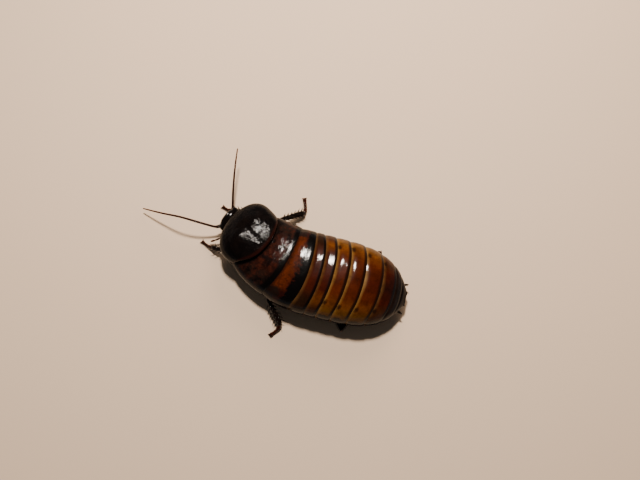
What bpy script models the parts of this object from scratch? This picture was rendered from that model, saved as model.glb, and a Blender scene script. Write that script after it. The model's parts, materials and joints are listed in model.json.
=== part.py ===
# Madagascar hissing cockroach, a life-size museum model with no moving parts.
# All sizes and places below are in millimetres, and make_node scales them to metres.
# X runs forward along the abdomen, Y to the animal's left, Z up, with the floor at 0.
# The thorax and head turn to the animal's right along one arc of the body line.
import math
import random

import bmesh
import bpy
from mathutils import Matrix, Vector

MM = 0.001
GAP = 0.3
CLEARANCE = 0.36
SIDES = (("left", 1), ("right", -1))

# Body line: straight along the abdomen, then an arc to the right, then straight.
# Stations count millimetres along it, forward from the joint of tergites 2 and 3.
TURN_START = 3.5
TURN_RADIUS = 44.0
TURN_DEG = 28.0

# Envelope of the body, each a value at a few stations, joined smoothly.
HALF_WIDTH = ((-28.6, 2.6), (-27.3, 4.8), (-25.2, 7.8), (-21.9, 10.6), (-16.8, 12.9), (-10.6, 14.1),
              (-3.0, 14.4), (7.6, 14.4), (15.6, 13.6), (21.0, 12.9), (27.0, 11.9))
BACK_HEIGHT = ((-28.6, 4.9), (-26.4, 7.0), (-24.1, 8.7), (-19.4, 11.2), (-13.2, 12.6), (-6.0, 12.9),
               (5.0, 12.3), (13.4, 11.8), (21.0, 11.0), (27.0, 10.6))
MARGIN_HEIGHT = ((-28.6, 3.7), (-24.0, 3.9), (-16.8, 4.6), (-8.0, 4.9), (5.0, 5.0), (16.0, 5.1), (27.0, 5.6))
BELLY_HEIGHT = ((-28.6, 3.0), (-20.0, 2.7), (-12.0, 3.1), (-6.0, 3.7), (0.0, 4.1), (6.0, 4.4), (38.0, 4.5))

# Plates of the back: name, station of the rear edge at the sides, how far the middle
# of that edge lies further back, and the plate's mean colour.
PRONOTUM_REAR = 27.0
PRONOTUM_SWEEP = 4.9
BACK_PLATES = (
    ("mesonotum", 15.7, 2.4, (0.060, 0.012, 0.006)),
    ("metanotum", 8.1, 2.7, (0.120, 0.030, 0.006)),
    ("tergite_1", 3.8, 2.7, (0.080, 0.015, 0.005)),
    ("tergite_2", -0.2, 2.7, (0.140, 0.030, 0.006)),
    ("tergite_3", -5.1, 2.7, (0.250, 0.065, 0.010)),
    ("tergite_4", -10.5, 2.7, (0.280, 0.075, 0.010)),
    ("tergite_5", -16.7, 2.6, (0.260, 0.065, 0.010)),
    ("tergite_6", -21.8, 2.3, (0.100, 0.020, 0.006)),
    ("tergite_7", -24.9, 1.6, (0.030, 0.010, 0.006)),
)
PLATE_STEP = 0.5
PLATE_EDGE = 0.5
ARCH_POWER = 0.85
BELLY_POWER = 0.7
BELLY_INSET = 0.7
PLATE_ARC = 18
BELLY_ARC = 12
EPIPROCT_TIP = -28.6

# Pronotum, the domed shield over the head.
PRONOTUM_WIDEST = 30.5
PRONOTUM_HALF_WIDTH = 11.4
PRONOTUM_FRONT_REACH = 8.4
PRONOTUM_REAR_REACH = 9.7
PRONOTUM_FRONT_POWER = 2.2
PRONOTUM_REAR_POWER = 2.3
PRONOTUM_SHIFT = ((26.0, 0.3), (31.0, 0.2), (35.0, -0.5), (40.0, -1.6))
PRONOTUM_TOP = ((20.0, 11.5), (25.0, 12.2), (30.0, 12.2), (34.0, 11.1), (36.5, 9.8), (38.9, 8.2))
PRONOTUM_MARGIN = ((20.0, 5.7), (30.0, 6.0), (35.0, 6.6), (38.9, 7.0))
PRONOTUM_EDGE = 0.8
PRONOTUM_RINGS = 11
PRONOTUM_ARC = 24
BUMP_STATION = 31.5
BUMP_SIDE = 4.3
BUMP_RADIUS = 3.2
BUMP_HEIGHT = 0.6

# Head, tilted under the front of the pronotum with the mouth pointing back.
# Its crown is a frame point, and the rest is counted from it, forward, left and up.
HEAD_CROWN = (39.25, -12.62, 5.35)
HEAD_TURN_DEG = 20.0
HEAD_MOUTH = (-4.7, 0.0, -3.6)
HEAD_SHAPE = ((0.0, 2.7, 0.9), (0.06, 3.8, 1.45), (0.16, 4.35, 1.8), (0.32, 4.5, 1.95), (0.5, 3.9, 1.9),
              (0.68, 2.8, 1.6), (0.84, 2.1, 1.25), (0.95, 1.65, 0.9), (1.0, 1.1, 0.6))
HEAD_SIDES = 20
LIP_SHARE = 0.8
EYE_PLACE = (-1.4, 3.9, -1.05)
EYE_SIZE = (1.15, 0.95, 1.75)

# Feelers: joint points in the frame, then radii from socket to tip.
ANTENNAE = {
    "left": ((40.4, -8.9, 4.0), (42.0, -8.0, 4.5), (47.5, -7.4, 6.8), (54.0, -7.4, 7.5),
             (62.0, -7.8, 5.0), (69.6, -8.6, 2.2)),
    "right": ((38.2, -15.0, 4.0), (38.1, -16.5, 4.5), (39.1, -20.9, 6.0), (40.3, -26.7, 7.5),
              (41.3, -32.2, 8.4), (42.1, -37.2, 8.8)),
}
ANTENNA_RADII = ((0.0, 0.58), (0.035, 0.55), (0.05, 0.40), (0.3, 0.34), (0.7, 0.28), (1.0, 0.24))
ANTENNA_STEPS = 22
MAXILLARY_PALPS = {
    "left": ((37.4, -8.3, 2.3), (38.4, -6.2, 2.7), (39.9, -4.4, 2.6), (42.3, -3.2, 1.6)),
    "right": ((36.2, -13.5, 1.9), (36.8, -14.5, 1.6), (37.9, -14.9, 1.3), (40.0, -14.3, 1.1)),
}
LABIAL_PALPS = {
    "left": ((36.0, -9.9, 1.35), (36.6, -8.6, 1.15), (37.8, -8.0, 0.9)),
    "right": ((35.3, -11.9, 1.35), (35.6, -13.0, 1.05), (36.6, -13.6, 0.75)),
}
PALP_RADII = ((0.0, 0.36), (0.45, 0.30), (0.8, 0.36), (1.0, 0.28))

# Cerci, short tapered rods at the tail.
CERCUS_ROOT = (-25.3, 4.0, 3.6)
CERCUS_LENGTH = 3.7
CERCUS_RADIUS = 0.62
CERCUS_SPLAY_DEG = 20.0

# Legs. The coxa root is a station and an offset to the side, the rest are frame points:
# coxa tip, knee, ankle, then the route of the foot to the claw root.
LEGS = {
    "front_left": ((34.2, 5.0), (28.7, -5.2, 2.2), (34.8, -0.5, 4.0), (41.2, -1.2, 1.5),
                   ((43.0, -1.5, 0.75), (45.5, -2.6, 0.42))),
    "front_right": ((34.2, -5.0), (27.5, -10.2, 2.2), (32.4, -16.9, 3.1), (38.7, -16.6, 1.3),
                    ((40.4, -16.5, 0.7), (42.4, -17.2, 0.42))),
    "middle_left": ((19.4, 6.6), (13.4, 1.0, 2.2), (16.9, 11.9, 3.9), (10.4, 19.2, 1.5),
                    ((10.9, 21.0, 0.75), (12.6, 23.3, 0.5))),
    "middle_right": ((19.4, -6.6), (13.9, -5.9, 2.2), (20.9, -16.3, 4.0), (13.2, -22.1, 1.5),
                     ((13.3, -24.4, 0.75), (14.6, -27.8, 0.5))),
    "hind_left": ((6.8, 6.4), (-2.4, 5.0, 1.9), (-10.3, 15.9, 2.7), (-14.9, 2.9, 1.25),
                  ((-17.2, 1.7, 0.7), (-20.9, 0.6, 0.5))),
    "hind_right": ((6.8, -6.4), (-2.4, -5.6, 1.9), (4.4, -14.4, 2.9), (-10.4, -12.9, 1.3),
                   ((-13.0, -13.3, 0.7), (-17.0, -15.0, 0.5))),
}
LEG_GIRTH = {"front": 0.8, "middle": 0.95, "hind": 1.05}
FEMUR_SHAPE = ((0.0, 0.62, 0.72), (0.1, 0.85, 0.95), (0.35, 1.05, 1.15), (0.7, 0.95, 1.05), (0.93, 0.8, 0.85),
               (1.0, 0.6, 0.65))
TIBIA_SHAPE = ((0.0, 0.55, 0.58), (0.08, 0.78, 0.80), (0.5, 0.95, 0.90), (0.92, 1.08, 0.98),
               (1.0, 0.82, 0.74))
TARSUS_SHAPE = ((0.0, 0.46), (0.10, 0.64), (0.36, 0.66), (0.40, 0.54), (0.50, 0.66), (0.53, 0.52),
                (0.63, 0.64), (0.66, 0.50), (0.74, 0.62), (0.77, 0.48), (0.92, 0.62), (1.0, 0.46))
COXA_WIDE = 1.75
COXA_LONG = 2.7
COXA_DEEP = 1.05
LIMB_SIDES = 10
FOOT_SIDES = 8
SPINE_ROWS_DEG = {"front": (15.0, 175.0), "middle": (62.0, 118.0, 185.0), "hind": (10.0, 170.0)}
SPINES_A_ROW = {"front": 3, "middle": 4, "hind": 5}
SPINE_LENGTH = 1.5
SPINE_ROOT_RADIUS = 0.30
SPINE_TIP_RADIUS = 0.09
SPINE_LEAN = 0.75
CLAW_LENGTH = 1.0
CLAW_RADIUS = 0.24
CLAW_SPREAD_DEG = 38.0

BLACK = (0.012, 0.009, 0.009)
DARK_BROWN = (0.030, 0.012, 0.008)
FEELER_BROWN = (0.045, 0.014, 0.009)
EYE_BLACK = (0.008, 0.007, 0.010)


def smooth_between(table, at):
    """A value read from (place, value) pairs in rising order, eased so that it has no corners."""
    if at <= table[0][0]:
        return table[0][1]
    if at >= table[-1][0]:
        return table[-1][1]
    k = 0
    while at > table[k + 1][0]:
        k += 1
    slopes = [slope_at(table, j) for j in (k, k + 1)]
    (x0, y0), (x1, y1) = table[k], table[k + 1]
    h = x1 - x0
    t = (at - x0) / h
    start = (1 + 2 * t) * (1 - t) ** 2 * y0 + t * (1 - t) ** 2 * h * slopes[0]
    end = t * t * (3 - 2 * t) * y1 + t * t * (t - 1) * h * slopes[1]
    return start + end


def slope_at(table, k):
    low, high = max(k - 1, 0), min(k + 1, len(table) - 1)
    return (table[high][1] - table[low][1]) / (table[high][0] - table[low][0])


def body_turn(station):
    """Radians that the body line has turned to the right at a station."""
    return min(max((station - TURN_START) / TURN_RADIUS, 0.0), math.radians(TURN_DEG))


def on_body(station, side, up):
    """The frame point at a station of the body line, moved to the animal's left and up."""
    turn = body_turn(station)
    straight = min(station, TURN_START) + max(0.0, station - TURN_START - TURN_RADIUS * turn) * math.cos(turn)
    x = straight + TURN_RADIUS * math.sin(turn)
    past = max(0.0, station - TURN_START - TURN_RADIUS * turn)
    y = -TURN_RADIUS * (1 - math.cos(turn)) - past * math.sin(turn)
    return Vector((x + side * math.sin(turn), y + side * math.cos(turn), up))


def make_material(name, colour, roughness):
    material = bpy.data.materials.new(name)
    material.use_nodes = True
    shader = material.node_tree.nodes["Principled BSDF"]
    shader.inputs["Base Color"].default_value = (*colour, 1)
    shader.inputs["Roughness"].default_value = roughness
    shader.inputs["Metallic"].default_value = 0
    return material


def make_node(name, points, faces, colour, roughness=0.3):
    """One named mesh object from points in millimetres, closed and facing out."""
    mesh = bpy.data.meshes.new(name)
    mesh.from_pydata([tuple(MM * c for c in p) for p in points], [], faces)
    shape = bmesh.new()
    shape.from_mesh(mesh)
    bmesh.ops.recalc_face_normals(shape, faces=shape.faces)
    bmesh.ops.triangulate(shape, faces=shape.faces)
    shape.to_mesh(mesh)
    shape.free()
    node = bpy.data.objects.new(name, mesh)
    bpy.context.scene.collection.objects.link(node)
    mesh.materials.append(make_material(name, colour, roughness))
    mesh.shade_smooth()
    mesh.set_sharp_from_angle(angle=math.radians(40))
    return node


def strip_faces(count, rings):
    """Side faces that join rings of count points each, with a fan over each end."""
    faces = []
    for r in range(rings - 1):
        for i in range(count):
            j = (i + 1) % count
            faces.append((r * count + i, r * count + j, (r + 1) * count + j, (r + 1) * count + i))
    faces.append(tuple(range(count)))
    faces.append(tuple((rings - 1) * count + i for i in range(count)))
    return faces


def plate_ring(station, sweep, shrink, arc, envelope, middle=0.0):
    """Points across one plate about its middle: an arched top row, then a flat bottom row under it."""
    top, bottom = [], []
    for i in range(arc + 1):
        angle = math.pi * i / arc
        across = math.cos(angle)
        at = station - sweep * (1 - across * across)
        width, height, margin, edge = envelope(station, at)
        side = middle + math.copysign(abs(across) ** ARCH_POWER, across) * (width - shrink)
        rise = max(height - shrink - margin - edge, 0.05) * math.sin(angle) ** ARCH_POWER
        top.append(on_body(at, side, margin + edge + rise))
        bottom.append(on_body(at, side, margin))
    return top + bottom[::-1]


def plate_faces(arc, rings):
    """Faces of a plate: its long sides, and each end as a curtain from top row to bottom row."""
    count = 2 * (arc + 1)
    faces = strip_faces(count, rings)[:-2]
    for base in (0, (rings - 1) * count):
        for i in range(arc):
            faces.append((base + i, base + i + 1, base + count - 2 - i, base + count - 1 - i))
    return faces


def body_envelope(station, at):
    width = smooth_between(HALF_WIDTH, station)
    height = smooth_between(BACK_HEIGHT, at)
    return width, height, smooth_between(MARGIN_HEIGHT, at), PLATE_EDGE


def back_plate(name, front, rear, colour):
    """A plate of the back between two edges, its front lip lower than the rear lip ahead of it."""
    rings = []
    steps = ((0.0, PLATE_STEP), (0.18, 0.45 * PLATE_STEP), (0.55, 0.0), (0.9, 0.0), (1.0, 0.25 * PLATE_STEP))
    for share, shrink in steps:
        station = front[0] - GAP / 2 + share * (rear[0] + GAP - front[0])
        sweep = front[1] + share * (rear[1] - front[1])
        rings += plate_ring(station, sweep, shrink, PLATE_ARC, body_envelope)
    make_node(name, rings, plate_faces(PLATE_ARC, len(steps)), colour)


def back_plates():
    front = (PRONOTUM_REAR, PRONOTUM_SWEEP)
    for name, station, sweep, colour in BACK_PLATES:
        back_plate(name, front, (station, sweep), colour)
        front = (station, sweep)
    rings = []
    steps = ((0.0, PLATE_STEP), (0.3, 0.5 * PLATE_STEP), (0.7, 0.3 * PLATE_STEP), (1.0, PLATE_STEP))
    for share, shrink in steps:
        station = front[0] - GAP / 2 + share * (EPIPROCT_TIP - front[0])
        rings += plate_ring(station, front[1] * (1 - share), shrink, PLATE_ARC, body_envelope)
    make_node("epiproct", rings, plate_faces(PLATE_ARC, len(steps)), BLACK)


def pronotum_envelope(station, at):
    ahead = station > PRONOTUM_WIDEST
    reach = PRONOTUM_FRONT_REACH if ahead else PRONOTUM_REAR_REACH
    power = PRONOTUM_FRONT_POWER if ahead else PRONOTUM_REAR_POWER
    share = abs(station - PRONOTUM_WIDEST) / reach
    width = PRONOTUM_HALF_WIDTH * max(1 - share ** power, 0.0) ** (1 / power)
    return width, smooth_between(PRONOTUM_TOP, at), smooth_between(PRONOTUM_MARGIN, at), PRONOTUM_EDGE


def pronotum():
    """The shield: rings from the swept rear edge to the blunt front, with two low bumps raised on it."""
    front = PRONOTUM_WIDEST + PRONOTUM_FRONT_REACH
    start = PRONOTUM_REAR + GAP / 2
    points = []
    for r in range(PRONOTUM_RINGS):
        share = math.sin(0.5 * math.pi * 0.985 * r / (PRONOTUM_RINGS - 1))
        station = start + share * (front - start)
        sweep = PRONOTUM_SWEEP * (1 - share) ** 1.3
        middle = smooth_between(PRONOTUM_SHIFT, station)
        points += plate_ring(station, sweep, 0.0, PRONOTUM_ARC, pronotum_envelope, middle)
    for side in (BUMP_SIDE, -BUMP_SIDE):
        centre = on_body(BUMP_STATION, side, 0)
        for p in points:
            near = max(0.0, 1 - (p.xy - centre.xy).length / BUMP_RADIUS)
            if p.z > 8:
                p.z += BUMP_HEIGHT * near * near * (3 - 2 * near)
    make_node("pronotum", points, plate_faces(PRONOTUM_ARC, PRONOTUM_RINGS), BLACK)


def belly_ring(station, inset, arc):
    """Points across one belly plate: a flat top row, then a shallow bowl below it."""
    top, bottom = [], []
    width = smooth_between(HALF_WIDTH, station) - inset
    margin = smooth_between(MARGIN_HEIGHT, station) - GAP
    belly = smooth_between(BELLY_HEIGHT, station)
    for i in range(arc + 1):
        angle = math.pi * i / arc
        across = math.cos(angle)
        side = math.copysign(abs(across) ** ARCH_POWER, across) * width
        drop = 0.25 + (margin - 0.25 - belly) * math.sin(angle) ** BELLY_POWER
        top.append(on_body(station, side, margin))
        bottom.append(on_body(station, side, margin - drop))
    return top + bottom[::-1]


def belly_plate(name, front, rear, inset, colour):
    rings = []
    shares = (0.0, 0.5, 1.0)
    for share in shares:
        station = front - GAP / 2 + share * (rear + GAP - front)
        rings += belly_ring(station, inset, BELLY_ARC)
    make_node(name, rings, plate_faces(BELLY_ARC, len(shares)), colour)


def belly_plates():
    edges = {name: station for name, station, sweep, colour in BACK_PLATES}
    belly_plate("prosternum", 36.0, 23.0, 3.6, DARK_BROWN)
    belly_plate("mesosternum", 23.0, edges["mesonotum"] - 2, 3.2, DARK_BROWN)
    belly_plate("metasternum", edges["mesonotum"] - 2, edges["tergite_1"], 3.0, DARK_BROWN)
    for k in range(2, 7):
        front, rear = edges[f"tergite_{k - 1}"], edges[f"tergite_{k}"]
        belly_plate(f"sternite_{k}", front, rear, BELLY_INSET, DARK_BROWN)
    belly_plate("sternite_7", edges["tergite_6"], EPIPROCT_TIP + 0.9, BELLY_INSET, DARK_BROWN)


def tube(points, radii, sides, up=Vector((0, 0, 1))):
    """Points of rings along a route, each ring as wide and as high as its (wide, high) pair."""
    rings = []
    for k, centre in enumerate(points):
        ahead = points[min(k + 1, len(points) - 1)] - points[max(k - 1, 0)]
        ahead.normalize()
        across = ahead.cross(up).normalized()
        rise = across.cross(ahead)
        wide, high = radii[k]
        for i in range(sides):
            angle = 2 * math.pi * i / sides
            rings.append(centre + across * wide * math.cos(angle) + rise * high * math.sin(angle))
    return rings


def smooth_route(points, steps):
    """Points evenly spaced along a curve through the given ones."""
    dense = []
    for k in range(len(points) - 1):
        p0 = points[max(k - 1, 0)]
        p1, p2 = points[k], points[k + 1]
        p3 = points[min(k + 2, len(points) - 1)]
        for j in range(12):
            t = j / 12
            dense.append(0.5 * (2 * p1 + (p2 - p0) * t + (2 * p0 - 5 * p1 + 4 * p2 - p3) * t * t
                                + (3 * p1 - p0 - 3 * p2 + p3) * t ** 3))
    dense.append(points[-1])
    lengths = [0.0]
    for a, b in zip(dense, dense[1:]):
        lengths.append(lengths[-1] + (b - a).length)
    route = []
    k = 0
    for j in range(steps + 1):
        want = lengths[-1] * j / steps
        while k < len(dense) - 2 and lengths[k + 1] < want:
            k += 1
        t = (want - lengths[k]) / (lengths[k + 1] - lengths[k])
        route.append(dense[k].lerp(dense[k + 1], t))
    return route


def round_tube(name, points, radii, steps, sides, colour):
    """A node that follows a smooth route, round all along, its radius read along the way."""
    route = smooth_route([Vector(p) for p in points], steps)
    sizes = [smooth_between(radii, k / steps) for k in range(steps + 1)]
    rings = tube(route, [(r, r) for r in sizes], sides)
    return make_node(name, rings, strip_faces(sides, len(route)), colour)


def clear_of(node, *others):
    """Cuts a swollen copy of each of the others out of the node, so that it meets them with a gap."""
    for other in others:
        cutter = other.copy()
        bpy.context.scene.collection.objects.link(cutter)
        swell = cutter.modifiers.new("swell", "DISPLACE")
        swell.strength = CLEARANCE * MM
        swell.mid_level = 0
        modifier = node.modifiers.new("cut", "BOOLEAN")
        modifier.operation = "DIFFERENCE"
        modifier.object = cutter
        apply_modifiers(node)
        bpy.data.objects.remove(cutter)
    keep_largest(node)


def fuse(node, pieces):
    """Joins the pieces to the node with one union, applies it and removes them."""
    group = bpy.data.collections.new("pieces")
    bpy.context.scene.collection.children.link(group)
    for piece in pieces:
        bpy.context.scene.collection.objects.unlink(piece)
        group.objects.link(piece)
    modifier = node.modifiers.new("union", "BOOLEAN")
    modifier.operation = "UNION"
    modifier.operand_type = "COLLECTION"
    modifier.collection = group
    modifier.solver = "EXACT"
    apply_modifiers(node)
    for piece in pieces:
        bpy.data.objects.remove(piece)
    bpy.data.collections.remove(group)
    keep_largest(node)


def apply_modifiers(node):
    graph = bpy.context.evaluated_depsgraph_get()
    graph.update()
    mesh = bpy.data.meshes.new_from_object(node.evaluated_get(graph))
    node.modifiers.clear()
    node.data = mesh
    mesh.shade_smooth()
    mesh.set_sharp_from_angle(angle=math.radians(40))


def keep_largest(node):
    """Drops every closed surface of the node's mesh but the one with the largest volume."""
    shape = bmesh.new()
    shape.from_mesh(node.data)
    shape.faces.ensure_lookup_table()
    unseen = set(shape.faces)
    bodies = []
    while unseen:
        front = [unseen.pop()]
        body = list(front)
        while front:
            face = front.pop()
            for edge in face.edges:
                for near in edge.link_faces:
                    if near in unseen:
                        unseen.remove(near)
                        front.append(near)
                        body.append(near)
        bodies.append(body)
    bodies.sort(key=body_volume)
    loose = [face for body in bodies[:-1] for face in body]
    bmesh.ops.delete(shape, geom=loose, context="FACES")
    bmesh.ops.delete(shape, geom=[v for v in shape.verts if not v.link_faces], context="VERTS")
    bmesh.ops.triangulate(shape, faces=shape.faces)
    shape.to_mesh(node.data)
    shape.free()


def body_volume(faces):
    total = 0.0
    for face in faces:
        corners = [v.co for v in face.verts]
        for a, b in zip(corners[1:], corners[2:]):
            total += corners[0].dot(a.cross(b))
    return total


def on_head(forward, side, up):
    """The frame point this far from the crown, forward, to the animal's left and up."""
    turn = math.radians(HEAD_TURN_DEG)
    ahead = Vector((math.cos(turn), -math.sin(turn), 0))
    left = Vector((math.sin(turn), math.cos(turn), 0))
    return Vector(HEAD_CROWN) + ahead * forward + left * side + Vector((0, 0, up))


def head():
    """The head with the lip parted from it by a thin cut, then the eyes, feelers and palps set on it."""
    top = on_head(0, 0, 0)
    mouth = on_head(*HEAD_MOUTH)
    length = (mouth - top).length
    skull = head_piece("head", top, mouth, 0.0, LIP_SHARE - GAP / 2 / length)
    lip = head_piece("lip", top, mouth, LIP_SHARE + GAP / 2 / length, 1.0)
    for label, sign in SIDES:
        clear_of(eye_ball(f"eye_{label}", sign), skull)
        feelers(label, skull, lip)


def head_piece(name, top, mouth, start, end):
    """Rings from one share of the head's length to another, flattened front to back."""
    widths = [(share, wide) for share, wide, deep in HEAD_SHAPE]
    depths = [(share, deep) for share, wide, deep in HEAD_SHAPE]
    shares = [start] + [share for share, wide, deep in HEAD_SHAPE if start < share < end] + [end]
    centres = [top.lerp(mouth, share) for share in shares]
    sizes = [(smooth_between(widths, share), smooth_between(depths, share)) for share in shares]
    rings = tube(centres, sizes, HEAD_SIDES, on_head(1, 0, 0) - on_head(0, 0, 0))
    return make_node(name, rings, strip_faces(HEAD_SIDES, len(shares)), BLACK, 0.2)


def eye_ball(name, sign):
    """An upright ellipsoid at the side of the head."""
    centre = on_head(EYE_PLACE[0], sign * EYE_PLACE[1], EYE_PLACE[2])
    turn = Matrix.Rotation(-math.radians(HEAD_TURN_DEG), 3, "Z") @ Matrix.Rotation(math.radians(35), 3, "Y")
    shape = bmesh.new()
    bmesh.ops.create_uvsphere(shape, u_segments=12, v_segments=8, radius=1)
    points = [centre + turn @ Vector([c * s for c, s in zip(v.co, EYE_SIZE)]) for v in shape.verts]
    faces = [tuple(v.index for v in f.verts) for f in shape.faces]
    shape.free()
    return make_node(name, points, faces, EYE_BLACK, 0.15)


def feelers(label, skull, lip):
    antenna = round_tube(f"antenna_{label}", ANTENNAE[label], ANTENNA_RADII, ANTENNA_STEPS, 8, FEELER_BROWN)
    clear_of(antenna, skull)
    for kind, routes in (("maxillary", MAXILLARY_PALPS), ("labial", LABIAL_PALPS)):
        palp = round_tube(f"{kind}_palp_{label}", routes[label], PALP_RADII, 8, 8, FEELER_BROWN)
        clear_of(palp, skull, lip)


def limb(name, start, end, shape, girth, sides):
    """A straight tube from start to end, its width and height read from the shape's rows."""
    centres = [start.lerp(end, share) for share, wide, high in shape]
    sizes = [(wide * girth, high * girth) for share, wide, high in shape]
    return make_node(name, tube(centres, sizes, sides), strip_faces(sides, len(shape)), BLACK)


def coxa(name, root, tip, girth):
    """Rings from a flat mouth under the belly to the narrow tip."""
    along = (tip - root)
    along.z = 0
    along.normalize()
    across = Vector((-along.y, along.x, 0))
    points = []
    steps = ((0.0, COXA_LONG, COXA_WIDE, 0.0), (0.3, 0.8 * COXA_LONG, 0.95 * COXA_WIDE, 0.35),
             (0.65, 1.6, 1.35, 0.8), (1.0, 0.75, 0.7, 1.0))
    for share, long, wide, tilt in steps:
        centre = root.lerp(tip, share)
        centre.z -= 0.35 * math.sin(math.pi * share)
        rise = (along * (1 - tilt) + Vector((0, 0, 1)) * tilt).normalized()
        high = long * (1 - tilt) + COXA_DEEP * tilt * (0.8 if share == 1 else 1)
        for i in range(LIMB_SIDES):
            angle = 2 * math.pi * i / LIMB_SIDES
            points.append(centre + (across * wide * math.cos(angle) + rise * high * math.sin(angle)) * girth)
    return make_node(name, points, strip_faces(LIMB_SIDES, 4), BLACK)


def spine(name, root, direction, length):
    """A four-sided spine that narrows to its tip."""
    ahead = direction.normalized()
    across = ahead.orthogonal().normalized()
    rise = ahead.cross(across)
    points = []
    for reach, radius in ((0.0, SPINE_ROOT_RADIUS), (1.0, SPINE_TIP_RADIUS)):
        for i in range(4):
            angle = math.pi * i / 2 + 0.4
            out = across * math.cos(angle) + rise * math.sin(angle)
            points.append(root + ahead * length * reach + out * radius)
    return make_node(name, points, strip_faces(4, 2), BLACK)


def tibia_spines(knee, ankle, pair, outer, seed):
    """Rows of spines that lean toward the foot, longest near the ankle, none reaching the floor."""
    draw = random.Random(seed)
    ahead = (ankle - knee).normalized()
    across = ahead.cross(Vector((0, 0, 1))).normalized() * -outer
    rise = Vector((0, 0, 1))
    spines = []
    for row, angle_deg in enumerate(SPINE_ROWS_DEG[pair]):
        for k in range(SPINES_A_ROW[pair]):
            share = 0.24 + (k + 0.33 * row) / (SPINES_A_ROW[pair] + 0.6) * 0.74
            angle = math.radians(angle_deg + draw.uniform(-8, 8))
            out = across * math.cos(angle) + rise * math.sin(angle)
            root = knee.lerp(ankle, share) + out * 0.2
            length = SPINE_LENGTH * (0.8 + 0.35 * share) * draw.uniform(0.9, 1.1)
            direction = out + ahead * SPINE_LEAN
            tip = root + direction.normalized() * length
            if tip.z > 0.2:
                spines.append(spine("spine", root, direction, length))
    return spines


def foot(name, ankle, route, girth):
    """Five joints in one tube that comes down to the floor, flat below, with two claws."""
    points = smooth_route([ankle] + [Vector(p) for p in route], 40)
    steps = [share for share, radius in TARSUS_SHAPE]
    centres = [points[round(40 * share)] for share in steps]
    rings = tube(centres, [(radius * girth, radius * girth) for share, radius in TARSUS_SHAPE], FOOT_SIDES)
    tarsus = make_node(name, rings, strip_faces(FOOT_SIDES, len(centres)), DARK_BROWN)
    ahead = centres[-1] - centres[-3]
    ahead.z = 0
    ahead.normalize()
    claws = []
    for sign in (1, -1):
        direction = Matrix.Rotation(sign * math.radians(CLAW_SPREAD_DEG), 3, "Z") @ ahead
        root = centres[-1] - ahead * 0.25 + Vector((0, 0, 0.05))
        tip = root + direction * CLAW_LENGTH
        tip.z = 0.14
        middle = root.lerp(tip, 0.55) + Vector((0, 0, 0.22))
        sizes = [(r, r) for r in (CLAW_RADIUS, 0.8 * CLAW_RADIUS, 0.1)]
        claws.append(make_node("claw", tube([root, middle, tip], sizes, 5), strip_faces(5, 3), BLACK))
    fuse(tarsus, claws)
    for v in tarsus.data.vertices:
        v.co.z = max(v.co.z, 0.0)
    return tarsus


def leg(label):
    (station, side), tip, knee, ankle, route = LEGS[label]
    pair, hand = label.split("_")
    outer = dict(SIDES)[hand]
    girth = LEG_GIRTH[pair]
    tip, knee, ankle = Vector(tip), Vector(knee), Vector(ankle)
    root = on_body(station, side, smooth_between(BELLY_HEIGHT, station) - GAP)
    hip = coxa(f"coxa_{label}", root, tip, girth)
    thigh_start = tip + (knee - tip).normalized() * 0.2
    thigh = limb(f"femur_{label}", thigh_start, knee, FEMUR_SHAPE, girth, LIMB_SIDES)
    clear_of(thigh, hip)
    shin_start = knee + (ankle - knee).normalized() * 0.2
    shin = limb(f"tibia_{label}", shin_start, ankle, TIBIA_SHAPE, girth, FOOT_SIDES)
    fuse(shin, tibia_spines(knee, ankle, pair, outer, label))
    clear_of(shin, thigh)
    clear_of(foot(f"tarsus_{label}", ankle, route, girth), shin)


def cerci():
    for label, sign in SIDES:
        root = on_body(CERCUS_ROOT[0], sign * CERCUS_ROOT[1], CERCUS_ROOT[2])
        angle = math.radians(180 - sign * CERCUS_SPLAY_DEG)
        ahead = Vector((math.cos(angle), math.sin(angle), 0))
        tip = root + ahead * CERCUS_LENGTH
        radii = ((0.0, 0.9 * CERCUS_RADIUS), (0.35, CERCUS_RADIUS), (0.8, 0.6 * CERCUS_RADIUS), (1.0, 0.25))
        rod = round_tube(f"cercus_{label}", (root, root.lerp(tip, 0.5), tip), radii, 5, 8, BLACK)
        clear_of(rod, *[bpy.data.objects[name] for name in ("epiproct", "tergite_7", "sternite_7")])


def centre_on_floor():
    """Moves every node so that the origin lies on the floor under the middle of the whole box."""
    nodes = [o for o in bpy.context.scene.objects if o.type == "MESH"]
    low = Vector([min(v.co[k] for o in nodes for v in o.data.vertices) for k in range(3)])
    high = Vector([max(v.co[k] for o in nodes for v in o.data.vertices) for k in range(3)])
    shift = Vector((-(low.x + high.x) / 2, -(low.y + high.y) / 2, 0))
    for node in nodes:
        node.data.transform(Matrix.Translation(shift))
    print("shift mm", [round(c / MM, 3) for c in shift])


def main():
    for thing in list(bpy.data.objects):
        bpy.data.objects.remove(thing)
    pronotum()
    back_plates()
    belly_plates()
    head()
    cerci()
    for label in LEGS:
        leg(label)
    centre_on_floor()


main()
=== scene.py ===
"""A Madagascar hissing cockroach at life size, still, standing on its six feet."""
import json
import math
import random

import bmesh
import bpy
from mathutils import Matrix, Quaternion, Vector, noise

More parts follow.
